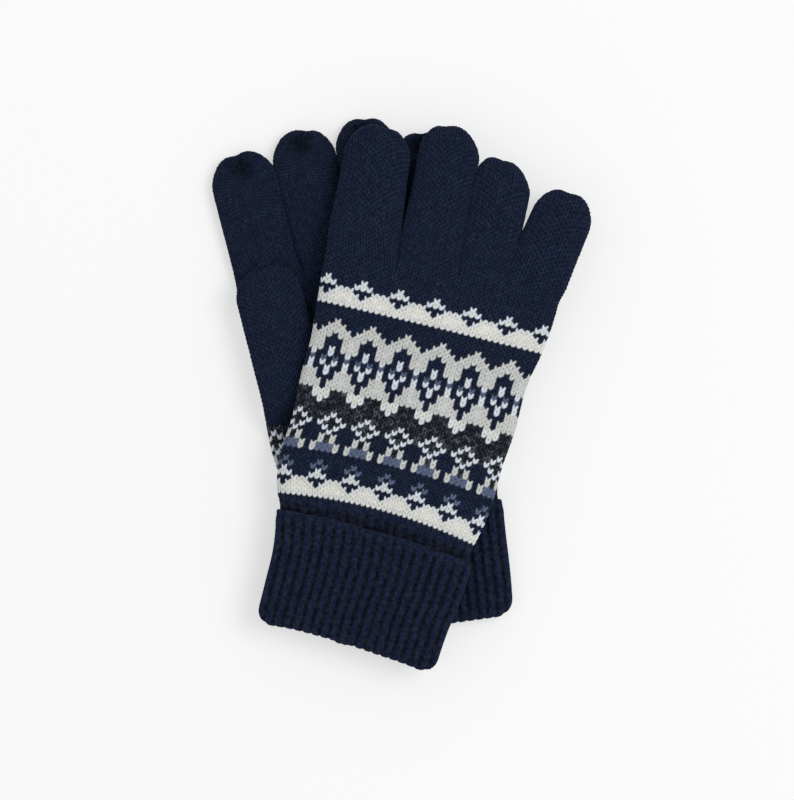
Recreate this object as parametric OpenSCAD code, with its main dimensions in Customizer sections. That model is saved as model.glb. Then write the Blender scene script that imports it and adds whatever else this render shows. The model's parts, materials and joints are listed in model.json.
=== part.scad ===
// A pair of knitted gloves, laid flat: the left glove below with its palm up,
// the right glove on top of it with its back up. Millimetres, +Z up.
// Each glove is drawn in its own frame: origin at the middle of the cuff's
// lower edge, +Y towards the fingers, z = 0 at the glove's middle plane.

/* [Hand] */
// Width of the hand where it meets the wrist
hand_base_w = 87; // [80:1:90]
// Width of the hand just above the wrist
hand_low_w = 94; // [90:1:96]
// Width of the hand at the finger roots
hand_top_w = 102; // [100:1:104]
// Thickness of the hand, both knitted layers and the room between them
hand_t = 9.6; // [9.6:0.2:11]
// Wall of the hand
hand_wall = 1.6; // [1.4:0.1:1.6]

/* [Cuff and wrist] */
// Height of the turned-up cuff
cuff_h = 49; // [40:1:50]
// Width of the cuff at its folded lower edge
cuff_low_w = 79; // [76:1:81]
// Width of the cuff at its upper edge
cuff_top_w = 88; // [86:1:90]
// Wall of the cuff
cuff_wall = 1.3; // [1.0:0.1:1.3]
// Wall of the wrist
wrist_wall = 1.0; // [0.8:0.1:1.0]

/* [Fingers] */
// Thickness of a finger, both knitted layers and the room between them
finger_t = 8.4; // [8:0.2:9]
// Wall of a finger
finger_wall = 1.5; // [1.2:0.1:1.6]
// Height of the finger roots above the cuff's lower edge
crotch_y = 165; // [164:0.5:167]

/* [Thumbs] */
// Thickness of a thumb
thumb_t = 6.4; // [6.2:0.1:6.4]
// Wall of a thumb
thumb_wall = 1.0; // [0.8:0.1:1.0]
// Height of the thumb's root above the cuff's lower edge
thumb_y = 97; // [94:1:98]
// Radius of the hole in the palm that the thumb opens into
thumb_hole_r = 9.5; // [8:0.5:10]

/* [Fit] */
// Gap between pieces that move past each other
gap = 0.3; // [0.3:0.05:0.4]

/* [Hidden] */
$fn = 96;
over = 20;

// Where each glove lies: the middle of its cuff's lower edge, and its turn.
LEFT_AT = [11.26, -102.4];
LEFT_TURN = 12.1;
RIGHT_AT = [-22.84, -108.1];
RIGHT_TURN = -14.4;

// Fingers in the order index, middle, ring, little.
ROOT_X = [-35.8, -7, 17, 39.3];
ROOT_W = [30, 24.4, 21.8, 21.6];
TIP_W = [28.6, 26, 22.8, 24];
LEFT_LEAN = [-1.6, -3.6, -0.4, 3.2];
LEFT_REACH = [49.4, 53.5, 52, 42];
RIGHT_LEAN = [-4, -4, -1.8, 9];
RIGHT_REACH = [52, 58, 49, 43.5];

// Thumbs: root, lean, width and reach from the root's centre to the tip.
LEFT_THUMB = [-34, -1.6, 27, 67.5];
RIGHT_THUMB = [-17.4, 8, 25, 67];

wrist_t = hand_t - 2 * hand_wall;
wrist_inset = cuff_wall + gap;
wrist_low_y = 1.5;
hand_base_y = 55;
hand_low_y = 75;
wrist_lap = 2;
hinge_y = crotch_y + finger_t / 2 + gap;
left_z = hand_t / 2;
thumb_z = hand_t + gap + thumb_t / 2;
right_z = hand_t + thumb_t + 2 * gap + hand_t / 2;

NAVY = [0.10, 0.13, 0.23];
RIB_NAVY = [0.08, 0.11, 0.20];
FAIR_ISLE = [0.46, 0.49, 0.55];

// Direction along a digit that leans by angle a, and the direction to its right.
function along(a) = [sin(a), cos(a)];
function across(a) = [cos(a), -sin(a)];

module lay_left(z = left_z) {
    translate([LEFT_AT[0], LEFT_AT[1], z]) rotate(LEFT_TURN) children();
}

module lay_right(z = right_z) {
    translate([RIGHT_AT[0], RIGHT_AT[1], z]) rotate(RIGHT_TURN) children();
}

module flat(t) {
    translate([0, 0, -t / 2]) linear_extrude(t) children();
}

// ---- Hand: a flat tube, open at the wrist and at the finger roots ----

module hand_outline(inset, low_y, top_y) {
    polygon([
        [-hand_base_w / 2 + inset, low_y], [-hand_low_w / 2 + inset, hand_low_y],
        [-hand_top_w / 2 + inset, top_y], [hand_top_w / 2 - inset, top_y],
        [hand_low_w / 2 - inset, hand_low_y], [hand_base_w / 2 - inset, low_y]
    ]);
}

// palm is +1 where the palm is the upper face and -1 where it is the lower one.
module hand(palm, thumb, spread_roots) {
    color(FAIR_ISLE) difference() {
        flat(hand_t) hand_outline(0, hand_base_y, crotch_y);
        flat(hand_t - 2 * hand_wall) hand_outline(hand_wall, hand_base_y - 1, crotch_y + 1);
        translate([thumb[0], thumb_y, palm * hand_t / 2]) cylinder(r = thumb_hole_r, h = 2 * hand_wall + 1, center = true);
        for (i = spread_roots)
            translate([ROOT_X[i], hinge_y, 0]) cylinder(r = ROOT_W[i] / 2 + gap, h = hand_t + 1, center = true);
    }
}

// ---- Wrist: ribbed tube that the cuff is turned up over ----

module wrist_outline(inset, low_y, top_y) {
    low = cuff_low_w / 2 - wrist_inset - inset;
    top = cuff_top_w / 2 - wrist_inset - inset;
    lap = min(top, hand_base_w / 2 - hand_wall - 0.1 - inset);
    polygon([
        [-low, low_y], [-top, cuff_h], [-lap, hand_base_y], [-lap, top_y],
        [lap, top_y], [lap, hand_base_y], [top, cuff_h], [low, low_y]
    ]);
}

module wrist_rib() {
    color(RIB_NAVY) difference() {
        flat(wrist_t) wrist_outline(0, wrist_low_y, hand_base_y + wrist_lap);
        flat(wrist_t - 2 * wrist_wall) wrist_outline(wrist_wall, 0, hand_base_y + wrist_lap + 1);
    }
}

// ---- Turned-up cuff: a sleeve around the wrist ----

module cuff_outline(inset, extra) {
    slope = (cuff_top_w - cuff_low_w) / 2 / cuff_h;
    low = cuff_low_w / 2 - inset - slope * extra;
    top = cuff_top_w / 2 - inset + slope * extra;
    polygon([[-low, -extra], [-top, cuff_h + extra], [top, cuff_h + extra], [low, -extra]]);
}

module turned_cuff() {
    color(RIB_NAVY) difference() {
        flat(hand_t) cuff_outline(0, 0);
        flat(hand_t - 2 * cuff_wall) cuff_outline(cuff_wall, 1);
    }
}

// ---- Digits: a straight tube, and the gathered tip that closes it ----

module digit_outline(root_w, tip_w, tip_y, lean) {
    c = along(lean) * tip_y;
    polygon([[-root_w / 2, 0], [root_w / 2, 0], c + across(lean) * tip_w / 2, c - across(lean) * tip_w / 2]);
}

// The room inside a digit, run past the tube by below at the root and by above at the tip.
module digit_room(root_w, tip_w, tip_y, lean, wall, below, above) {
    c = along(lean) * tip_y;
    r = root_w / 2 - wall;
    side = across(lean) * (tip_w / 2 - wall);
    polygon([
        [-r, -below], [r, -below], [r, 0], c + side, c + side + along(lean) * above,
        c - side + along(lean) * above, c - side, [-r, 0]
    ]);
}

// A finger root that lifts is round about X; one that spreads is round about Z.
module finger_tube(i, leans, reaches, spreads) {
    tip_y = reaches[i] - TIP_W[i] / 2;
    color(NAVY) translate([ROOT_X[i], hinge_y, 0]) difference() {
        union() {
            flat(finger_t) digit_outline(ROOT_W[i], TIP_W[i], tip_y, leans[i]);
            if (spreads)
                cylinder(d = ROOT_W[i], h = finger_t, center = true);
            else
                rotate([0, 90, 0]) cylinder(d = finger_t, h = ROOT_W[i], center = true);
        }
        flat(finger_t - 2 * finger_wall)
            digit_room(ROOT_W[i], TIP_W[i], tip_y, leans[i], finger_wall, over, 1);
    }
}

// Half-round cap, open towards the tube it closes.
module gathered_tip(w, t, wall) {
    difference() {
        cylinder(d = w, h = t, center = true);
        translate([-w, -2 * w, -t]) cube([2 * w, 2 * w, 2 * t]);
        cylinder(d = w - 2 * wall, h = t - 2 * wall, center = true);
    }
}

module finger_tip(i, leans, reaches) {
    c = along(leans[i]) * (reaches[i] - TIP_W[i] / 2);
    color(NAVY) translate([ROOT_X[i] + c[0], hinge_y + c[1], 0]) rotate(-leans[i])
        gathered_tip(TIP_W[i], finger_t, finger_wall);
}

// The thumb lies on the palm: its root is round about Z and opens through its lower or upper wall.
module thumb_tube(thumb, palm) {
    w = thumb[2];
    tip_y = thumb[3] - w / 2;
    color(NAVY) translate([thumb[0], thumb_y, 0]) difference() {
        union() {
            flat(thumb_t) digit_outline(w, w, tip_y, thumb[1]);
            cylinder(d = w, h = thumb_t, center = true);
        }
        flat(thumb_t - 2 * thumb_wall) digit_room(w, w, tip_y, thumb[1], thumb_wall, 0, 1);
        cylinder(d = w - 2 * thumb_wall, h = thumb_t - 2 * thumb_wall, center = true);
        translate([0, 0, -palm * thumb_t / 2]) cylinder(r = thumb_hole_r, h = 2 * thumb_wall + 1, center = true);
    }
}

module thumb_tip(thumb) {
    c = along(thumb[1]) * (thumb[3] - thumb[2] / 2);
    color(NAVY) translate([thumb[0] + c[0], thumb_y + c[1], 0]) rotate(-thumb[1])
        gathered_tip(thumb[2], thumb_t, thumb_wall);
}

// ---- Left glove, palm up ----
lay_left() hand(1, LEFT_THUMB, [1, 2, 3]);  // left_hand
lay_left() wrist_rib();  // left_wrist_rib
lay_left() turned_cuff();  // left_turned_cuff
lay_left() finger_tube(0, LEFT_LEAN, LEFT_REACH, false);  // left_index_finger
lay_left() finger_tube(1, LEFT_LEAN, LEFT_REACH, true);  // left_middle_finger
lay_left() finger_tube(2, LEFT_LEAN, LEFT_REACH, true);  // left_ring_finger
lay_left() finger_tube(3, LEFT_LEAN, LEFT_REACH, true);  // left_little_finger
lay_left(thumb_z) thumb_tube(LEFT_THUMB, 1);  // left_thumb
lay_left() finger_tip(0, LEFT_LEAN, LEFT_REACH);  // left_index_tip
lay_left() finger_tip(1, LEFT_LEAN, LEFT_REACH);  // left_middle_tip
lay_left() finger_tip(2, LEFT_LEAN, LEFT_REACH);  // left_ring_tip
lay_left() finger_tip(3, LEFT_LEAN, LEFT_REACH);  // left_little_tip
lay_left(thumb_z) thumb_tip(LEFT_THUMB);  // left_thumb_tip

// ---- Right glove, back up ----
lay_right() hand(-1, RIGHT_THUMB, []);  // right_hand
lay_right() wrist_rib();  // right_wrist_rib
lay_right() turned_cuff();  // right_turned_cuff
lay_right() finger_tube(0, RIGHT_LEAN, RIGHT_REACH, false);  // right_index_finger
lay_right() finger_tube(1, RIGHT_LEAN, RIGHT_REACH, false);  // right_middle_finger
lay_right() finger_tube(2, RIGHT_LEAN, RIGHT_REACH, false);  // right_ring_finger
lay_right() finger_tube(3, RIGHT_LEAN, RIGHT_REACH, false);  // right_little_finger
lay_right(thumb_z) thumb_tube(RIGHT_THUMB, -1);  // right_thumb
lay_right() finger_tip(0, RIGHT_LEAN, RIGHT_REACH);  // right_index_tip
lay_right() finger_tip(1, RIGHT_LEAN, RIGHT_REACH);  // right_middle_tip
lay_right() finger_tip(2, RIGHT_LEAN, RIGHT_REACH);  // right_ring_tip
lay_right() finger_tip(3, RIGHT_LEAN, RIGHT_REACH);  // right_little_tip
lay_right(thumb_z) thumb_tip(RIGHT_THUMB);  // right_thumb_tip
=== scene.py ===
"""A pair of knitted gloves laid flat on a pale floor: the left one palm up, and the right one on it, back up.

Every stitch is real geometry. Each glove has its own flat frame in millimetres, as in the CAD: origin at the
middle of the cuff's folded edge, +Y to the fingers, z = 0 at the middle of the glove's thickness. A tube of
fabric is a grid whose columns are stitches and whose rows are rows of knitting; lay() carries it into the
shared frame in metres.
"""
import math

import bpy
import numpy as np
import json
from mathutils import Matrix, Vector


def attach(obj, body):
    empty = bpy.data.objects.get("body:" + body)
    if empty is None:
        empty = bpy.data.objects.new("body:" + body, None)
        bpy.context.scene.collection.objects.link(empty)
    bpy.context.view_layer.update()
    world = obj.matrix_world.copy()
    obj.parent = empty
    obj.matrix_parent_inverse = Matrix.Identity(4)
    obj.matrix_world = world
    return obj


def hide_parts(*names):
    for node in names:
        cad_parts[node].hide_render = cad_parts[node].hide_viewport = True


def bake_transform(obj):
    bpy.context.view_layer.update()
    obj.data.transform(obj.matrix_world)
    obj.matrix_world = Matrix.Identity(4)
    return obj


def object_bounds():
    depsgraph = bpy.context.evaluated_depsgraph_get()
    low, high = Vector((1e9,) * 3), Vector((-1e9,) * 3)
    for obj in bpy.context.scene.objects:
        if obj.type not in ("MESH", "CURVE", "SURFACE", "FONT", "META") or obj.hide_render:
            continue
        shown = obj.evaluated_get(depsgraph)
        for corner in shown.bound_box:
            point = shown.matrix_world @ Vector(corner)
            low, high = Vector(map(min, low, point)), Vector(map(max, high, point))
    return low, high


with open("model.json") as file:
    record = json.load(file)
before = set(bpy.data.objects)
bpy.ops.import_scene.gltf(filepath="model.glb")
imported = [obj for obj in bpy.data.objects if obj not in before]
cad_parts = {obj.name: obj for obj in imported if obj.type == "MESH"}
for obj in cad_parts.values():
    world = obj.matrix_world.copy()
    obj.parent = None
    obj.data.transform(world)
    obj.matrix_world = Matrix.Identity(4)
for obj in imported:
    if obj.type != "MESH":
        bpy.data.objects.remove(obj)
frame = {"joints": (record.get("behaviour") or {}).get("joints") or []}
CAD_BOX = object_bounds()

MM = 0.001
JOINTS = {j["name"]: j for j in frame["joints"]}

# ---- Driving dimensions, in millimetres ----
ROW = 1.97                     # height of one row of stocking stitch
FACE = 39                      # stitches across one face of the hand
HINGE_Y = 169.5                # finger hinges above the cuff's fold
HAND_Y = 55.0                  # where the wrist rib ends and the hand begins
HAND_ROWS = 52
SEAM_Y = HAND_Y + HAND_ROWS * ROW
CUFF_H = 49.2
STITCH_W = 2.55
HAND_SECTION = 9.0             # how square a flattened section is: 2 is an ellipse
FINGER_HALF_T = 4.2
FINGER_SECTION = 2.15
THUMB_HALF_T = 3.1
THUMB_SECTION = 2.2
THUMB_START = 4.0              # where a thumb leaves the palm, beyond its swing
THUMB_COLUMNS = 24
DROOP = 4.6                    # how far the upper glove sinks where no thumb is under it
RELIEF = 0.35                  # how far a leg of a stitch stands out
LEG_FOOT = (0.13, 0.28)        # a leg's lower end: stitches from the middle, rows up
LEG_EAR = (0.37, 1.00)         # its upper end
LEG_R = (0.58, 0.50)           # its half thickness at the two ends
LEG_DROP = 0.10                # how much lower the upper end lies
STITCH_JITTER = 0.035          # how unevenly the stitches stand out
CREASE_SHADE = (0.57, 0.20)    # how much light a pale and a dark yarn keep at the bottom of a crease
NX, NY = 8, 6                  # grid samples in a stitch, across and along
FINGERS = ("index", "middle", "ring", "little")
ROOT_X = (-35.8, -7.0, 17.0, 39.3)
ROOT_FIRST = (0, 12, 22, 30)   # first hand column of each finger
ROOT_COUNT = (12, 10, 8, 9)    # hand columns that run into each finger
WALL = 3                       # columns down each side between two fingers
CLOSE = 1.49                   # how far round its quarter turn a tip closes, in radians
GATHER_TILT = math.radians(58)   # how far a fingertip's gathered point lies over onto the palm side
GATHER_LEAD = 30.0             # how far below the tip the rings begin to tip over
ROOT_BLEND = 17.0              # height over which a finger leaves the hand's surface
PLEAT = 1.5                    # depth of the pleats at the gathered point
HOLLOW = 1.8                   # how far the gathered point sinks
PRESSED = 0.9                  # the knitting is pressed flat below this height above the floor
PALM_LOW = -4.5                # where the thumb swings, the palm is no lower than this from the glove's level


def srgb(red, green, blue):
    """Linear colour of an sRGB triple from 0 to 255."""
    c = np.array([red, green, blue]) / 255.0
    return np.where(c <= 0.04045, c / 12.92, ((c + 0.055) / 1.055) ** 2.4)


YARNS = {
    "N": srgb(17, 27, 50),     # navy
    "W": srgb(214, 214, 207),  # white
    "G": srgb(193, 195, 193),  # grey
    "C": srgb(20, 24, 34),     # charcoal
    "B": srgb(87, 98, 123),    # denim
    "b": srgb(80, 92, 115),    # darker denim
}
COOL_WHITE = srgb(206, 213, 222)   # a white stitch alone among dark ones

# The band on the hand, top row first. A repeat is six stitches; the last column carries the crowns.
CHART = """
NNNNNW WNNNWW NWWWNN WWWWWN WWWWWW WWWWWW NNNNNN NNNNNN NNNNNN
NNGNNN NGGGNN GGGGGN GGNGGG GNNNGG GNNNGG GNWNGG NNWNNW NbNbNb NWNWNW NNWNNW GNWNGG
GNNNGG GGNGGG GGNGGG CWWWCC CWWWCC CCWCCC CCCCCC CCCCCC
CCCCCW WCCCWC CWCWCC WNNNWC NNNNNW GNNNGC GNNNGC BGNGBB BGNGBB NNNNNN NNNNNN
NNNNNB BNNNBN NNNNNW WNNNWW NWWWNN WWWWWN WWWWWW WWWWWW
""".split()
CHART_FIRST = 1                # plain rows below the band
PALM_ROWS = 40                 # rows of the band that the palm has too
CROWN = 19                     # the stitch in the middle of a face has a crown


def smooth(t):
    """Rises smoothly from 0 to 1 as t does."""
    t = np.clip(t, 0.0, 1.0)
    return t * t * (3.0 - 2.0 * t)


def curve(points):
    """A smooth function through the given (place, value) points, level outside them."""
    places, values = (np.array(c, float) for c in zip(*points))
    slopes = np.gradient(values, places)

    def at(p):
        p = np.clip(p, places[0], places[-1])
        k = np.clip(np.searchsorted(places, p) - 1, 0, len(places) - 2)
        span = places[k + 1] - places[k]
        t = (p - places[k]) / span
        a, b = values[k], values[k + 1]
        da, db = slopes[k] * span, slopes[k + 1] * span
        first = (2 * t**3 - 3 * t**2 + 1) * a + (t**3 - 2 * t**2 + t) * da
        return first + (3 * t**2 - 2 * t**3) * b + (t**3 - t**2) * db

    return at


def wobble(x, y, seed, size):
    """Slow, smooth unevenness between about -1 and 1, with bumps of the given size."""
    rng = np.random.default_rng(seed)
    total = 0.0
    for _ in range(6):
        angle, phase = rng.uniform(0, math.tau, 2)
        k = math.tau / (size * rng.uniform(0.7, 1.6))
        total = total + np.sin(k * (x * math.cos(angle) + y * math.sin(angle)) + phase)
    return total / 3.5


# ---- Stitches ----

def stitch_cell():
    """Height of each grid sample in a stitch, and the column and row offsets of the stitch it belongs to."""
    xs = np.arange(NX) / NX * STITCH_W
    ys = np.arange(NY) / NY * ROW
    x, y = np.meshgrid(xs, ys)
    best = np.full(x.shape, -9.0)
    owner = np.zeros(x.shape + (2,), int)
    for di in (-1, 0, 1):
        for dj in (-2, -1, 0, 1):
            for side in (-1, 1):
                ax = (di + 0.5 + side * LEG_FOOT[0]) * STITCH_W
                ay = (dj + LEG_FOOT[1]) * ROW
                bx = (di + 0.5 + side * LEG_EAR[0]) * STITCH_W
                by = (dj + LEG_EAR[1]) * ROW
                dx, dy = bx - ax, by - ay
                t = np.clip(((x - ax) * dx + (y - ay) * dy) / (dx * dx + dy * dy), 0, 1)
                radius = LEG_R[0] + (LEG_R[1] - LEG_R[0]) * t
                d = np.hypot(x - ax - t * dx, y - ay - t * dy) / radius
                height = RELIEF * (1 - d * d) - LEG_DROP * t
                nearer = height > best
                best = np.where(nearer, height, best)
                owner[nearer] = (di, dj)
    return np.maximum(best, -RELIEF), owner


CELL, OWNER = stitch_cell()
CELL_LOW, CELL_HIGH = CELL.min(), CELL.max()


def nearby(mask):
    """Share of the four neighbours of each chart stitch that are in the mask; the chart repeats both ways."""
    mask = mask.astype(float)
    beside = np.roll(mask, 1, axis=1) + np.roll(mask, -1, axis=1)
    above_below = np.roll(mask, 1, axis=0) + np.roll(mask, -1, axis=0)
    return (beside + above_below) / 4


def chart_table():
    """Colour of each stitch of the band, and how much fluff flattens its relief and lightens its painted
    crease shade: 1 amid pale stitches, 0 beside dark ones.
    """
    letters = np.full((HAND_ROWS, 6), "N")
    letters[CHART_FIRST:CHART_FIRST + len(CHART)] = [list(line) for line in reversed(CHART)]
    table = np.array([[YARNS[letter] for letter in row] for row in letters])
    light = np.isin(letters, ("W", "G"))
    near = nearby(light) * light
    cool = np.where(letters == "W", np.clip(1.25 - near * 1.25, 0, 1), 0.0)[..., None]
    table = table * (1 - cool) + COOL_WHITE * cool
    fluff_and_lighter_creases = np.clip(nearby(near >= 1.0) / 0.5, 0, 1) * (near >= 1.0)
    return table, fluff_and_lighter_creases


CHART_TABLE, FLUFF_AND_LIGHTER_CREASES = chart_table()


def chart_colour(palm):
    """Colours of the hand's stitches; columns count round from its left edge, and rows from the wrist."""
    def colour(column, row):
        row = np.clip(row, 0, HAND_ROWS - 1)
        column = column % (2 * FACE)
        place = (column - CROWN - 1) % 6
        tint = CHART_TABLE[row, place]
        on_palm = (column < FACE) if palm == "upper" else (column >= FACE)
        plain = (on_palm & (row >= PALM_ROWS))[..., None]
        tint = np.where(plain, YARNS["N"], tint)
        chance = np.random.default_rng(11).random((HAND_ROWS, 2 * FACE))[row, column]
        charcoal = np.abs(tint - YARNS["C"]).max(axis=-1) < 1e-6
        dark = tint.mean(axis=-1) < 0.1
        spread = np.where(dark, 0.3, 0.08)
        fleck = np.where(charcoal, 0.3 + 0.7 * (chance > 0.5), np.where(dark, 0.12, 0.0))
        tint = tint * (1 + spread * (chance - 0.5))[..., None]
        return tint, fleck, np.where(plain[..., 0], 0.0, FLUFF_AND_LIGHTER_CREASES[row, place])

    return colour


def navy_colour(column, row):
    """Plain navy that varies a little from stitch to stitch."""
    chance = np.random.default_rng(12).random((97, 89))[row % 97, column % 89]
    tint = YARNS["N"] * (0.85 + 0.3 * chance[..., None])
    return tint, np.full(chance.shape, 0.10), np.zeros(chance.shape)


def knit(points, columns, colour):
    """Stitch relief and yarn colours, with painted shade towards the bottom of the creases, on a closed grid
    of points, NY samples to a row and NX to a stitch.
    """
    rows, across = points.shape[:2]
    normal = normals(points)
    a = np.arange(across) % NX
    b = np.arange(rows) % NY
    height = CELL[b][:, a]
    owner = OWNER[b][:, a]
    column = (np.arange(across)[None, :] // NX + owner[..., 0]) % columns
    row = np.arange(rows)[:, None] // NY + owner[..., 1]
    tint, fleck, fluff_and_lighter_creases = colour(column, row)
    raised = smooth((height - CELL_LOW) / (CELL_HIGH - CELL_LOW) * 1.15)
    # Painted shade: each sample's colour darkens towards the bottom of the creases between legs, less in
    # fluffier pale stitches.
    keep = np.where(tint.mean(axis=-1) > 0.1, *CREASE_SHADE)
    keep = keep + (0.94 - keep) * fluff_and_lighter_creases
    shade = keep + (1 - keep) * raised
    rgba = np.concatenate([tint * shade[..., None], (fleck * raised**3)[..., None]], axis=-1)
    jitter = np.random.default_rng(13).normal(0, STITCH_JITTER, (rows // NY + 3, columns))
    height = height * (1 - 0.45 * fluff_and_lighter_creases) + jitter[row % len(jitter), column]
    return points + normal * height[..., None], rgba


def normals(points):
    """Outward normals of a grid that is closed across its columns."""
    du = np.roll(points, -1, axis=1) - np.roll(points, 1, axis=1)
    dv = np.gradient(points, axis=0)
    n = np.cross(du, dv)
    return n / np.maximum(np.linalg.norm(n, axis=2, keepdims=True), 1e-9)


# ---- Flattened tubes ----

def upper_curve(half_w, half_t, p):
    """Points of the upper half of a flat section, from left to right, and their distance along it."""
    reach = 1 - (1 - np.linspace(0, 1, 120)) ** 2
    level = half_t * np.sqrt(np.maximum(1 - reach**p, 0))
    left = np.stack([-half_w * reach, level], 1)[::-1]
    right = np.stack([half_w * reach, level], 1)[1:]
    path = np.concatenate([left, right])
    run = np.concatenate([[0], np.cumsum(np.hypot(*np.diff(path, axis=0).T))])
    return path, run


def flat_section(fraction, half_w, half_t, p):
    """x and z at fractions of the way round a flat section, from its left edge over the top."""
    path, run = upper_curve(half_w, half_t, p)
    up = fraction <= 0.5
    along = np.where(up, fraction * 2, 2 - fraction * 2) * run[-1]
    x = np.interp(along, run, path[:, 0])
    z = np.interp(along, run, path[:, 1])
    return x, np.where(up, z, -z)


class Glove:
    """Where one glove lies, and the shape of its hand."""

    def __init__(self, side):
        self.side = side
        self.top = side == "right"
        up = -np.array(JOINTS[f"{side}_cuff_turn_down"]["axis"], float)[:2]
        index = np.array(JOINTS[f"{side}_index_fold"]["pos_m"], float)
        self.z = index[2] / MM
        self.y_axis = up / np.linalg.norm(up)
        self.x_axis = np.array([self.y_axis[1], -self.y_axis[0]])
        self.origin = index[:2] / MM - self.x_axis * ROOT_X[0] - self.y_axis * HINGE_Y
        wrist = [(0, 40), (40, 42), (55, 43.0), (62, 44.9)]
        if self.top:
            roots = [(157, 50.8), (166, 51.0), (180, 51.2)]
            middle = [(75, 46.5), (90, 46.1), (107, 47.3), (125, 47.3), (141, 49.5)]
            self.half_w = curve(wrist + middle + roots)
            self.shift = curve([(0, -1.3), (18, -0.7), (30, 0.1), (46, -0.5), (57, -1.9), (75, -1.8),
                                (90, -1.2), (107, -0.9), (125, -0.8), (141, 0), (166, 0)])
            self.rise = curve([(0, -0.3), (46, 0.1), (57, 0.7), (75, 0.9), (90, 0.4),
                               (105, 0.0), (119, 0.8), (141, 1.4), (157, 1.7), (180, 1.8)])
            self.tilt = curve([(0, -1.9), (49, -0.9), (57, -0.5), (90, 0),
                               (119, 0.7), (141, 0.8), (166, 0.3)])
            self.sag = curve([(0, -1.6), (46, -0.4), (57, -2.1), (75, -1.2), (90, -0.6), (105, 0)])
        else:
            roots = [(157, 49.4), (166, 49.6), (180, 50.0)]
            self.half_w = curve(wrist + [(75, 47.2), (86, 48.2), (102, 48.4), (137, 48.6)] + roots)
            self.shift = curve([(0, -1.8), (14, -0.3), (46, 0.0), (57, 0), (75, -0.8),
                                (86, -1.2), (102, -0.8), (137, -0.3), (166, 0)])
            self.rise = curve([(0, 0.4), (46, 0), (57, 0.5), (75, 2.6),
                               (95, 3.8), (130, 3.8), (150, 2.0), (166, 0)])
            self.tilt = curve([(0, -1.3), (46, 0)])
            self.sag = curve([(0, 0), (1, 0)])
        self.half_t = curve([(0, 3.6), (48, 3.7), (55, 3.9), (66, 4.3),
                             (110, 4.45), (150, 4.2), (166, 3.9), (180, 3.8)])
        self.arch = curve([(0, 2.2), (55, 2.2), (90, 1.6), (130, 0.4), (157, 0.0), (180, 0.0)])

    def drape(self, x, y):
        """How far the upper glove sinks where no thumb is under it."""
        if not self.top:
            return 0.0 * x
        across = 1 - smooth((x - 2) / 32)
        along = smooth((y - 52) / 34) * (1 - smooth((y - 158) / 34))
        return -DROOP * (1 - across * along)

    def press_palm(self, points):
        """Presses the upper glove's palm up against its back where the thumb can swing under it."""
        x, y, z = points[..., 0], points[..., 1], points[..., 2]
        swept = smooth((y - 80) / 10) * (1 - smooth((y - 148) / 8)) * (1 - smooth((x - 30) / 10))
        points[..., 2] = np.maximum(z, PALM_LOW - self.drape(x, y) * swept)

    def warp(self, points):
        """Shifts and bends the rows as the knitting lies."""
        x, y = points[..., 0], points[..., 1]
        t = x / 45.0
        bent = y + self.rise(y) + self.tilt(y) * t + self.sag(y) * t * t
        return np.stack([x + self.shift(y), bent, points[..., 2]], axis=-1)

    def hand(self, fraction, y):
        """Points of the hand at fractions of the way round and heights y, as an array rows x columns x 3."""
        out = np.zeros((len(y), len(fraction), 3))
        for k, height in enumerate(y):
            x, z = flat_section(fraction, self.half_w(height), self.half_t(height), HAND_SECTION)
            out[k, :, 0], out[k, :, 2] = x, z
            out[k, :, 1] = height + self.arch(height) * (1 - (x / self.half_w(height)) ** 2)
        return self.warp(out)

    def lay(self, points):
        """Carries points in millimetres from the glove's frame into the shared frame in metres."""
        x, y, z = points[..., 0], points[..., 1], points[..., 2]
        flat = self.origin + x[..., None] * self.x_axis + y[..., None] * self.y_axis
        level = z + self.z + self.drape(x, y)
        level = np.where(level < PRESSED, PRESSED * np.exp(np.minimum(level / PRESSED - 1, 0)), level)
        return np.concatenate([flat, level[..., None]], axis=-1) * MM

    def place(self, x, y):
        """A point of the glove's middle plane in the shared frame."""
        return tuple(float(c) for c in self.lay(np.array([x, y, 0.0])))


# ---- Meshes ----

def grid_mesh(name, points, tint, material, closed=True, cap=False):
    """A mesh object from a grid of points in metres; tint holds the yarn colours, and flecks as alpha."""
    rows, across = points.shape[:2]
    index = np.arange(rows * across).reshape(rows, across)
    beside = np.roll(index, -1, axis=1) if closed else index[:, 1:]
    here = index if closed else index[:, :-1]
    quads = np.stack([here[:-1], beside[:-1], beside[1:], here[1:]], axis=-1).reshape(-1, 4)
    co = points.reshape(-1, 3)
    colours = tint.reshape(-1, 4)
    loops = quads.reshape(-1)
    sizes = np.full(len(quads), 4)
    if cap:
        last = index[-1]
        co = np.vstack([co, co[last].mean(axis=0)])
        colours = np.vstack([colours, colours[last].mean(axis=0)])
        fan = np.stack([last, np.roll(last, -1), np.full(across, len(co) - 1)], axis=-1)
        loops = np.concatenate([loops, fan.reshape(-1)])
        sizes = np.concatenate([sizes, np.full(across, 3)])
    mesh = bpy.data.meshes.new(name)
    mesh.vertices.add(len(co))
    mesh.vertices.foreach_set("co", co.astype(np.float32).ravel())
    mesh.loops.add(len(loops))
    mesh.loops.foreach_set("vertex_index", loops.astype(np.int32))
    mesh.polygons.add(len(sizes))
    mesh.polygons.foreach_set("loop_start", (np.cumsum(sizes) - sizes).astype(np.int32))
    mesh.polygons.foreach_set("use_smooth", np.ones(len(sizes), bool))
    mesh.update(calc_edges=True)
    yarn = mesh.color_attributes.new("Yarn", "FLOAT_COLOR", "POINT")
    yarn.data.foreach_set("color", colours.astype(np.float32).ravel())
    mesh.materials.append(material)
    obj = bpy.data.objects.new(name, mesh)
    bpy.context.scene.collection.objects.link(obj)
    return obj


# ---- Wool ----

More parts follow.
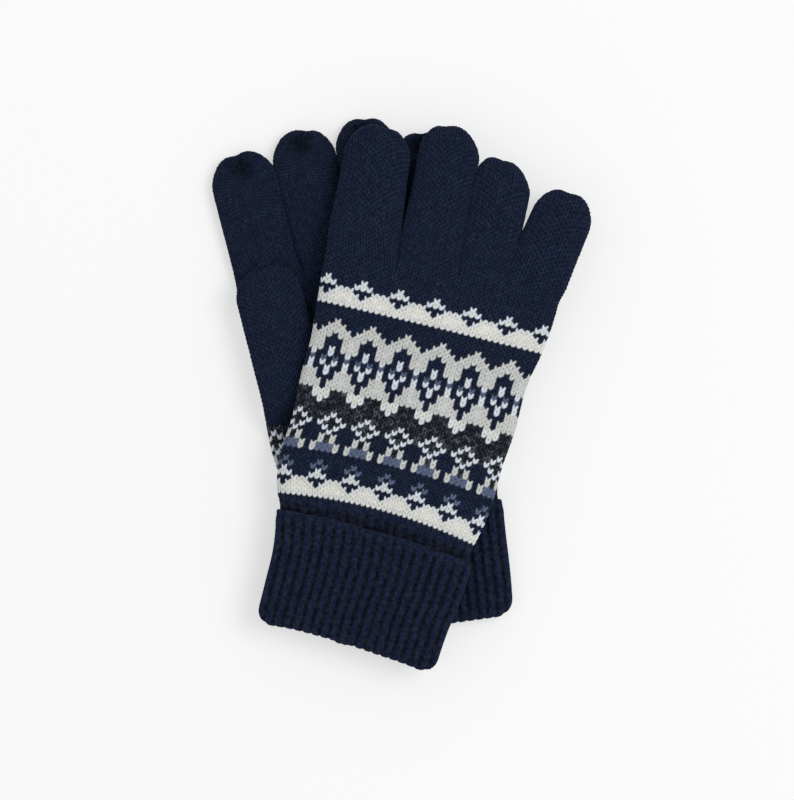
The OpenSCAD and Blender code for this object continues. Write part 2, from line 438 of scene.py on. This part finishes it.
def wool(name, fuzz):
    """Wool coloured by the Yarn attribute, with fibre noise; its alpha says how many pale flecks show."""
    material = bpy.data.materials.new(name)
    material.use_nodes = True
    nodes, links = material.node_tree.nodes, material.node_tree.links
    shader = nodes["Principled BSDF"]
    shader.inputs["Roughness"].default_value = 0.9
    shader.inputs["Specular IOR Level"].default_value = 0.12
    shader.inputs["Sheen Weight"].default_value = fuzz
    shader.inputs["Sheen Roughness"].default_value = 0.3
    shader.inputs["Sheen Tint"].default_value = (0.7, 0.85, 1.0, 1)
    place = nodes.new("ShaderNodeTexCoord")
    yarn = nodes.new("ShaderNodeAttribute")
    yarn.attribute_name = "Yarn"

    def noise(scale, detail, low, high, to_low, to_high):
        texture = nodes.new("ShaderNodeTexNoise")
        texture.inputs["Scale"].default_value = scale
        texture.inputs["Detail"].default_value = detail
        texture.inputs["Roughness"].default_value = 0.7
        links.new(place.outputs["Object"], texture.inputs["Vector"])
        ranged = nodes.new("ShaderNodeMapRange")
        ends = {"From Min": low, "From Max": high, "To Min": to_low, "To Max": to_high}
        for socket, value in ends.items():
            ranged.inputs[socket].default_value = value
        links.new(texture.outputs["Fac"], ranged.inputs["Value"])
        return texture, ranged

    fibre, tone = noise(1300, 3, 0.3, 0.7, 0.5, 1.5)
    for edge, slope, start in (("To Min", 0.5, 0.45), ("To Max", -0.5, 1.55)):
        milder = nodes.new("ShaderNodeMath")
        milder.operation = "MULTIPLY_ADD"
        milder.inputs[1].default_value = slope
        milder.inputs[2].default_value = start
        links.new(yarn.outputs["Fac"], milder.inputs[0])
        links.new(milder.outputs["Value"], tone.inputs[edge])
    shaded = nodes.new("ShaderNodeVectorMath")
    shaded.operation = "SCALE"
    links.new(yarn.outputs["Color"], shaded.inputs[0])
    links.new(tone.outputs["Result"], shaded.inputs["Scale"])
    _, pale = noise(600, 1, 0.40, 0.72, 0.0, 0.10)
    amount = nodes.new("ShaderNodeMath")
    amount.operation = "MULTIPLY"
    links.new(pale.outputs["Result"], amount.inputs[0])
    links.new(yarn.outputs["Alpha"], amount.inputs[1])
    mixed = nodes.new("ShaderNodeVectorMath")
    mixed.operation = "MULTIPLY_ADD"
    mixed.inputs[1].default_value = (0.92, 1.0, 1.12)
    links.new(amount.outputs["Value"], mixed.inputs[0])
    links.new(shaded.outputs["Vector"], mixed.inputs[2])
    links.new(mixed.outputs["Vector"], shader.inputs["Base Color"])
    bump = nodes.new("ShaderNodeBump")
    bump.inputs["Strength"].default_value = 0.6
    bump.inputs["Distance"].default_value = 0.0003
    links.new(fibre.outputs["Fac"], bump.inputs["Height"])
    links.new(bump.outputs["Normal"], shader.inputs["Normal"])
    return material


WOOL = wool("wool_knit", 0.12)
PATTERN = wool("wool_fair_isle", 0.05)
RIB = wool("wool_rib", 0.10)


# ---- The hand ----

def make_hand(glove):
    """The hand's tube, cut along its two edges into a palm and a back."""
    columns = 2 * FACE
    fraction = np.arange(columns * NX) / (columns * NX)
    y = HAND_Y + np.arange(HAND_ROWS * NY + 1) / NY * ROW
    points = glove.hand(fraction, y)
    points[..., 2] += 0.25 * wobble(points[..., 0], points[..., 1], 3 if glove.top else 4, 45)
    if glove.top:
        glove.press_palm(points)
    points, tint = knit(points, columns, chart_colour("lower" if glove.top else "upper"))
    half = FACE * NX
    faces = {"upper": np.arange(half + 1), "lower": np.arange(half, 2 * half + 1) % (2 * half)}
    names = {"upper": "back", "lower": "palm"} if glove.top else {"upper": "palm", "lower": "back"}
    laid = glove.lay(points)
    for face, picked in faces.items():
        name = f"{glove.side}_hand_{names[face]}_knit"
        piece = grid_mesh(name, laid[:, picked], tint[:, picked], PATTERN, closed=False)
        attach(piece, f"{glove.side}_hand")
        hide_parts(f"{glove.side}_hand")


# ---- Fingers ----

# Lean in degrees, reach beyond the hinge, half width at the root and the tip, shift to the right, and how
# much the tip slopes down to its right.
SHAPES = {
    ("right", "index"): (-5.3, 50.4, 15.5, 14.1, -0.9, 0.02),
    ("right", "middle"): (-3.6, 57.8, 13.9, 12.9, -0.4, 0.12),
    ("right", "ring"): (-3.1, 49.2, 12.0, 12.6, -0.2, 0.22),
    ("right", "little"): (9.0, 43.2, 13.8, 12.9, -1.0, 0.0),
    ("left", "index"): (-1.9, 49.6, 14.2, 14.4, 0.6, 0.0),
    ("left", "middle"): (-3.5, 53.9, 14.4, 13.7, 0.3, 0.0),
    ("left", "ring"): (2.4, 53.2, 15.0, 12.9, -0.8, 0.0),
    ("left", "little"): (3.2, 42.0, 11.4, 12.5, 0.0, 0.0),
}
# How far beyond its hinge the left index's bend point lies, clear of the thumb's tip; the point is worked out
# but not used.
BEND_OUT = {("left", "index"): 6.0}
# How far off the middle of its face each tip's deepest pleat is, in radians.
NOTCH = {"index": -0.1, "middle": 0.35, "ring": 0.2, "little": 0.1, "thumb": 0.0}


def root_points(glove, finger, y):
    """The part of the hand's surface that runs into a finger, with plain walls between two fingers."""
    first, count = ROOT_FIRST[finger], ROOT_COUNT[finger]
    left_wall = WALL if finger > 0 else 0
    right_wall = WALL if finger < 3 else 0
    total = 2 * count + left_wall + right_wall
    u = np.arange(total * NX) / NX
    top_start = left_wall / 2
    hand_u = np.zeros_like(u)
    drop = np.zeros_like(u)
    edges = np.cumsum([top_start, count, right_wall, count])
    on_top = (u >= edges[0]) & (u < edges[1])
    on_right = (u >= edges[1]) & (u < edges[2])
    on_bottom = (u >= edges[2]) & (u < edges[3])
    on_left = ~(on_top | on_right | on_bottom)
    hand_u[on_top] = first + u[on_top] - edges[0]
    hand_u[on_right] = first + count
    if right_wall:
        drop[on_right] = (u[on_right] - edges[1]) / right_wall
    hand_u[on_bottom] = 2 * FACE - (first + count) + (u[on_bottom] - edges[2])
    hand_u[on_left] = first
    if left_wall:
        wrapped = np.where(u < edges[0], u + total, u)
        drop[on_left] = 1 - (wrapped[on_left] - edges[3]) / left_wall
    surface = glove.hand((hand_u % (2 * FACE)) / (2 * FACE), y)
    walls = on_right | on_left
    surface[:, walls, 2] *= (1 - 2 * drop[walls])[None, :]
    return surface, u, total


def closed_tube(along, fraction, width, half_t, section_p, straight, radius, tilt):
    """Points of a flat tube along +Y that closes in a round tip. The rings tip over towards one face, by tilt
    radians in the end, so the gathered point lies on that face: up where tilt is positive."""
    out = np.zeros((len(along), len(fraction), 3))
    phi = math.pi - math.tau * fraction
    for k, s in enumerate(along):
        base = s - straight
        turn = min(max(base / radius, 0.0), CLOSE)
        beta = tilt * min(max((base + GATHER_LEAD) / (GATHER_LEAD + CLOSE * radius), 0.0), 1.0)
        sx, sy, sz = math.cos(turn) * np.cos(phi), math.sin(turn), math.cos(turn) * np.sin(phi)
        sy, sz = sy * math.cos(beta) - sz * math.sin(beta), sy * math.sin(beta) + sz * math.cos(beta)
        y = min(base, 0.0) + radius * sy
        shrink = np.sqrt(np.maximum(1 - np.clip(y / radius, 0, 1) ** 2, 0))
        around = ((math.pi - np.arctan2(sz, sx)) / math.tau) % 1.0
        x, z = flat_section(around, width(s), half_t, section_p)
        out[k] = np.stack([x * shrink**0.92, straight + y, z * shrink**0.75], axis=1)
    return out


def gather(points, along, fraction, straight, radius, up, notch, seed):
    """Pleats that run over the tip into the sunken gathered point, and the painted shade that darkens the
    wool in its hollow. The deepest pleat is notch radians off the middle of the face away from that point."""
    rng = np.random.default_rng(seed)
    turn = np.clip((along - straight) / radius, 0, CLOSE)[:, None]
    phi = math.pi - math.tau * fraction
    over = -math.pi / 2 if up else math.pi / 2
    relief = np.zeros((len(along), len(fraction)))
    for offset, depth in ((notch, 1.0), (1.25, 0.5), (-1.15, 0.55), (2.3, 0.35), (-2.2, 0.4)):
        away = np.angle(np.exp(1j * (phi - over - offset - rng.uniform(-0.1, 0.1))))
        relief = relief - depth * np.exp(-(away / 0.34) ** 2)[None, :]
    relief = PLEAT * (relief + 0.45) * smooth((turn - 0.1) / 0.9)
    relief = relief - HOLLOW * smooth((turn - 0.85) / 0.6)
    return points + normals(points) * relief[..., None], 1 - 0.5 * smooth((turn - 0.85) / 0.5)


def lean_out(points, root_x, root_y, lean):
    """Turns a tube about its root, lean degrees to the right."""
    angle = math.radians(lean)
    x, y = points[..., 0].copy(), points[..., 1].copy()
    points[..., 0] = root_x + x * math.cos(angle) + y * math.sin(angle)
    points[..., 1] = root_y - x * math.sin(angle) + y * math.cos(angle)
    return points


def make_finger(glove, finger):
    """A finger, which leaves the hand's surface and turns into a tube with a gathered tip."""
    name = FINGERS[finger]
    lean, reach, root_w, free_w, shift, skew = SHAPES[glove.side, name]
    straight = reach - free_w
    length = HINGE_Y - SEAM_Y + straight + free_w * CLOSE
    rows = int(round(length / ROW))
    along = SEAM_Y - HINGE_Y + np.arange(rows * NY + 1) / NY * ROW
    surface, u, total = root_points(glove, finger, along + HINGE_Y)

    def width(s):
        return root_w + (free_w - root_w) * float(smooth((s + 2) / 36))

    tilt = -GATHER_TILT if glove.top else GATHER_TILT
    free = closed_tube(along, u / total, width, FINGER_HALF_T, FINGER_SECTION, straight, free_w, tilt)
    free, dim = gather(free, along, u / total, straight, free_w, tilt > 0, NOTCH[name], 20 + finger)
    free[..., 1] -= skew * free[..., 0] * smooth((along - straight + 4) / 12)[:, None]
    free = lean_out(free, ROOT_X[finger] + shift, HINGE_Y, lean)
    mixed = smooth((along - (SEAM_Y - HINGE_Y)) / ROOT_BLEND)[:, None, None]
    points = surface * (1 - mixed) + free * mixed
    points, tint = knit(points, total, navy_colour)
    # Painted shade: the wool darkens into the hollow of the gathered tip.
    tint[..., :3] *= dim[..., None]
    piece = grid_mesh(f"{glove.side}_{name}_knit", glove.lay(points), tint, WOOL, cap=True)
    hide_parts(f"{glove.side}_{name}_finger", f"{glove.side}_{name}_tip")
    bend_y = HINGE_Y + BEND_OUT.get((glove.side, name), 0.0)
    glove.place(ROOT_X[finger], bend_y - 9)
    glove.place(ROOT_X[finger], bend_y + 9)
    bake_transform(piece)


# ---- Thumbs ----

# Lean in degrees, reach beyond the swing, half width.
THUMBS = {"left": (-2.2, 71.5, 14.2), "right": (8.0, 67.0, 12.2)}


def make_thumb(glove):
    """A thumb, which rises out of the palm and lies flat over or under it."""
    side = glove.side
    pos = np.array(JOINTS[f"{side}_thumb_swing"]["pos_m"], float) / MM
    flat = pos[:2] - glove.origin
    root_x, root_y = flat @ glove.x_axis, flat @ glove.y_axis
    level = pos[2] - glove.z + (0.0 if glove.top else 0.8)
    palm = -4.0 if glove.top else 4.0
    lean, reach, half_w = THUMBS[side]
    fraction = np.arange(THUMB_COLUMNS * NX) / NX / THUMB_COLUMNS
    straight = reach - half_w
    rows = int(round((straight - THUMB_START + half_w * CLOSE) / ROW))
    along = THUMB_START + np.arange(rows * NY + 1) / NY * ROW
    tilt = -0.3 * GATHER_TILT
    points = closed_tube(along, fraction, lambda s: half_w, THUMB_HALF_T, THUMB_SECTION,
                         straight, half_w, tilt)
    points, dim = gather(points, along, fraction, straight, half_w, False, NOTCH["thumb"], 31 + glove.top)
    opened = smooth((along - THUMB_START + 1.5) / 12)[:, None]
    points[..., 2] = points[..., 2] * (0.1 + 0.9 * opened) + palm * 0.93 * (1 - opened) + level * opened
    points = lean_out(points, root_x, root_y, lean)
    points, tint = knit(points, THUMB_COLUMNS, navy_colour)
    # Painted shade: the wool darkens into the hollow of the gathered tip.
    tint[..., :3] *= dim[..., None]
    laid = glove.lay(points)
    laid[..., 2] -= glove.drape(points[..., 0], points[..., 1]) * MM
    piece = grid_mesh(f"{side}_thumb_knit", laid, tint, WOOL, cap=True)
    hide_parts(f"{side}_thumb", f"{side}_thumb_tip")
    glove.place(root_x, root_y + 2)
    glove.place(root_x, root_y + 24)
    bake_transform(piece)


# ---- Wrist and cuff ----

RIBS = 40                      # ribs round the cuff
RIB_NX = 10                    # grid samples across a rib
RIB_SHADE = 0.20               # how much light the wool keeps in a valley
RIB_HEIGHT = 1.0
RIB_SECTION = 7.0
CUFF_HALF_T = 3.75
BOW = 1.2                      # how far the cuff's and wrist's rows rise in the middle
FOLD_R = 1.7                   # radius of the folded edge, seen from the side
RIB_YARN = YARNS["N"] * (0.55, 0.68, 0.85)
ROLL = 0.7                     # how much the cuff's loose edge stands up
CORNER_R = 6.0                 # round corners of the folded edge


def rib_relief(across, y, amount):
    """Height and painted shade of one-by-one rib: broad knitted ridges of V stitches, narrow purl valleys
    darkened in the colour.
    """
    frac = (np.arange(across) % RIB_NX) / RIB_NX
    d = np.abs(frac - 0.5) * 2
    ridge = smooth(1.5 * (1 - d))
    stitch_x = np.clip((frac - 0.16) / 0.68, 0, 0.999) * STITCH_W
    column = np.clip((stitch_x / STITCH_W * NX).astype(int), 0, NX - 1)
    row = ((y / ROW) % 1.0 * NY).astype(int) % NY
    leg = CELL[row][:, column] * smooth((0.95 - d) * 3)[None, :]
    height = amount[:, None] * ridge[None, :] + 0.2 * leg
    # Painted shade: the colour darkens down into each valley, less where the ribs are shallow.
    hidden = (1 - RIB_SHADE) * np.clip(amount * 1.6 / RIB_HEIGHT, 0, 1)[:, None]
    shade = 1 - hidden * (1 - smooth(ridge[None, :] * 0.95 + 0.02 + leg * 0.25))
    tint = np.concatenate([RIB_YARN * shade[..., None], np.full(height.shape + (1,), 0.12)], axis=-1)
    return height, tint


cuff_half_w = curve([(0, 39.7), (18, 40.3), (30, 41.3), (CUFF_H, 43.6)])


def ring(y, depth, fraction):
    """A ring of the cuff at height y, set in by depth from its surface, with the fold's corners round."""
    half_w = float(cuff_half_w(y)) - depth
    half_t = CUFF_HALF_T - depth + ROLL * smooth((y - CUFF_H + 9) / 6)
    x, z = flat_section(fraction, half_w, max(half_t, 0.3), RIB_SECTION)
    bow = BOW * (1 - (x / half_w) ** 2)
    into = np.clip(np.abs(x) - (half_w - CORNER_R), 0, CORNER_R)
    corner = (CORNER_R - np.sqrt(CORNER_R**2 - into**2)) * (1 - smooth(y / (3 * CORNER_R)))
    return np.stack([x, y + bow + corner, z], 1)


def make_cuff(glove):
    """The turned-up cuff: from its lining, round the fold and up the outside to the loose edge, then shut."""
    side = glove.side
    across = RIBS * RIB_NX
    fraction = np.arange(across) / across
    loose_edge = [(-1.1, 1.9), (-0.4, 1.7), (0.0, 1.0), (-0.3, 0.4), (-0.8, 0.1)]
    profile = [(CUFF_H + rise, depth) for rise, depth in loose_edge]
    profile += [(y, 0.0) for y in np.arange(CUFF_H - 1.4, 2.0, -ROW / NY)]
    for a in np.linspace(0, math.pi, 12)[1:]:
        profile.append((FOLD_R - FOLD_R * math.sin(a), FOLD_R - FOLD_R * math.cos(a)))
    inside = [(3.0, 2 * FOLD_R), (3.4, 2 * FOLD_R - 0.4), (3.0, 2 * FOLD_R - 0.7)]
    inside += [(0.8, 2.5), (0.4, 1.9), (1.2, 1.3)]
    profile += [(FOLD_R + rise, depth) for rise, depth in inside]
    profile += [(y, 1.3) for y in np.linspace(FOLD_R + 3, CUFF_H - 3, 14)]
    profile = profile[::-1]
    y = np.array([p[0] for p in profile])
    depth = np.array([p[1] for p in profile])
    points = np.stack([ring(a, b, fraction) for a, b in profile])
    fade = 0.12 + 0.88 * smooth((CUFF_H - 1.0 - y) / 4.5)
    amount = RIB_HEIGHT * (1 - 0.8 * smooth((depth - FOLD_R) / 1.4)) * fade
    amount = amount * (1 - 0.5 * smooth((3.5 - y) / 3))
    inner = (depth > 0.9) & (y > FOLD_R + 0.1)
    amount[inner] = 0.0
    height, tint = rib_relief(across, y, amount)
    height[inner] = 0.0
    points = points + normals(points) * height[..., None]
    points[..., 1] += 0.35 * wobble(points[..., 0], points[..., 1], 6 + glove.top, 30)
    laid = glove.lay(glove.warp(points))
    shut = np.concatenate([laid, laid[:1]])
    piece = grid_mesh(f"{side}_turned_cuff_knit", shut, np.concatenate([tint, tint[:1]]), RIB)
    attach(piece, f"{side}_cuff")
    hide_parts(f"{side}_turned_cuff")


def make_wrist(glove):
    """The wrist's rib inside the cuff, with its own lining, widening into the hand at its upper end."""
    side = glove.side
    across = RIBS * RIB_NX
    fraction = np.arange(across) / across
    ys = np.arange(1.8, HAND_Y + 0.6, ROW / NY)
    tuck = smooth((ys - 49) / 6)
    outer = []
    for y, t in zip(ys, tuck):
        half_w = float(cuff_half_w(y) - 1.6) * (1 - t) + float(glove.half_w(y)) * t
        half_t = 2.1 * (1 - t) + float(glove.half_t(y)) * t
        x, z = flat_section(fraction, half_w, half_t, RIB_SECTION + (HAND_SECTION - RIB_SECTION) * t)
        bow = (BOW * (1 - t) + float(glove.arch(y)) * t) * (1 - (x / half_w) ** 2)
        outer.append(np.stack([x, y + bow, z], 1))
    points = np.stack(outer)
    amount = 0.5 + 0.25 * tuck
    amount = amount * (1 - smooth((ys - 52) / 3.5))
    height, tint = rib_relief(across, ys, amount)
    # Painted shadow: the wrist's rib is darkened to 0.45 under the cuff's loose edge, brightening to full
    # over the 5 mm above it.
    tint[..., :3] *= (0.45 + 0.55 * smooth((ys - 49.5) / 5))[:, None, None]
    points = points + normals(points) * height[..., None]
    inner_y = np.linspace(3.0, HAND_Y, 18)
    inner = []
    for y in inner_y:
        x, z = flat_section(fraction, float(cuff_half_w(y)) - 3.6, 1.2, RIB_SECTION)
        inner.append(np.stack([x, y + BOW * (1 - (x / x.max()) ** 2), z], 1))
    inner = np.stack(inner)[::-1]
    lip = (inner[-1:] + points[:1]) / 2 - np.array([0, 0.6, 0])
    points = np.concatenate([inner, lip, points])
    # Painted shade: the lining inside the cuff is coloured navy at 0.6 of its brightness.
    dark = np.broadcast_to(np.append(YARNS["N"] * 0.6, 0.1), inner.shape[:2] + (4,))
    tint = np.concatenate([dark, tint[:1], tint])
    piece = grid_mesh(f"{side}_wrist_knit", glove.lay(glove.warp(points)), tint, RIB)
    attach(piece, f"{side}_hand")
    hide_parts(f"{side}_wrist_rib")


# ---- Floor, light and camera ----

def make_stage():
    """The pale floor, just under the gloves."""
    size = 3.0
    bpy.ops.mesh.primitive_plane_add(size=size, location=(0, 0, -0.0002))
    floor = bpy.context.object
    floor.name = "floor"
    material = bpy.data.materials.new("pale_floor")
    material.use_nodes = True
    shader = material.node_tree.nodes["Principled BSDF"]
    shader.inputs["Base Color"].default_value = (0.42, 0.423, 0.423, 1)
    shader.inputs["Roughness"].default_value = 0.9
    shader.inputs["Emission Color"].default_value = (1.0, 1.0, 1.0, 1)
    shader.inputs["Emission Strength"].default_value = 0.515
    floor.data.materials.append(material)


def area_light(name, place, size, power):
    """A round lamp aimed at the origin."""
    light = bpy.data.lights.new(name, "AREA")
    light.shape = "DISK"
    light.size = size
    light.energy = power
    obj = bpy.data.objects.new(name, light)
    obj.location = place
    aim = -np.array(place)
    tip = math.atan2(math.hypot(aim[0], aim[1]), -aim[2])
    obj.rotation_euler = (tip, 0, math.atan2(aim[0], -aim[1]) + math.pi)
    bpy.context.scene.collection.objects.link(obj)


def make_light():
    """Even white light from all round, and one soft lamp above and to the right."""
    world = bpy.data.worlds.new("studio")
    bpy.context.scene.world = world
    world.use_nodes = True
    back = world.node_tree.nodes["Background"]
    back.inputs["Color"].default_value = (1.0, 1.0, 1.0, 1)
    back.inputs["Strength"].default_value = 0.70
    area_light("key", (1.5, 0.5, 2.7), 1.8, 40.0)
    bpy.context.scene.view_settings.view_transform = "Standard"


def make_camera():
    """Straight down, far enough away that the upper glove isn't enlarged much."""
    lens, sensor = 150.0, 36.0
    seen_height = 344.0 * MM
    centre_x, centre_y = -1.78 * MM, -2.58 * MM
    pile_z = CAD_BOX[1][2] * 0.6
    data = bpy.data.cameras.new("camera")
    data.lens = lens
    data.sensor_width = sensor
    camera = bpy.data.objects.new("camera", data)
    camera.location = (centre_x, centre_y, pile_z + seen_height * lens / sensor)
    bpy.context.scene.collection.objects.link(camera)
    bpy.context.scene.camera = camera


make_camera()
make_stage()
make_light()
for glove in (Glove("left"), Glove("right")):
    make_hand(glove)
    for finger in range(4):
        make_finger(glove, finger)
    make_thumb(glove)
    make_wrist(glove)
    make_cuff(glove)

import json
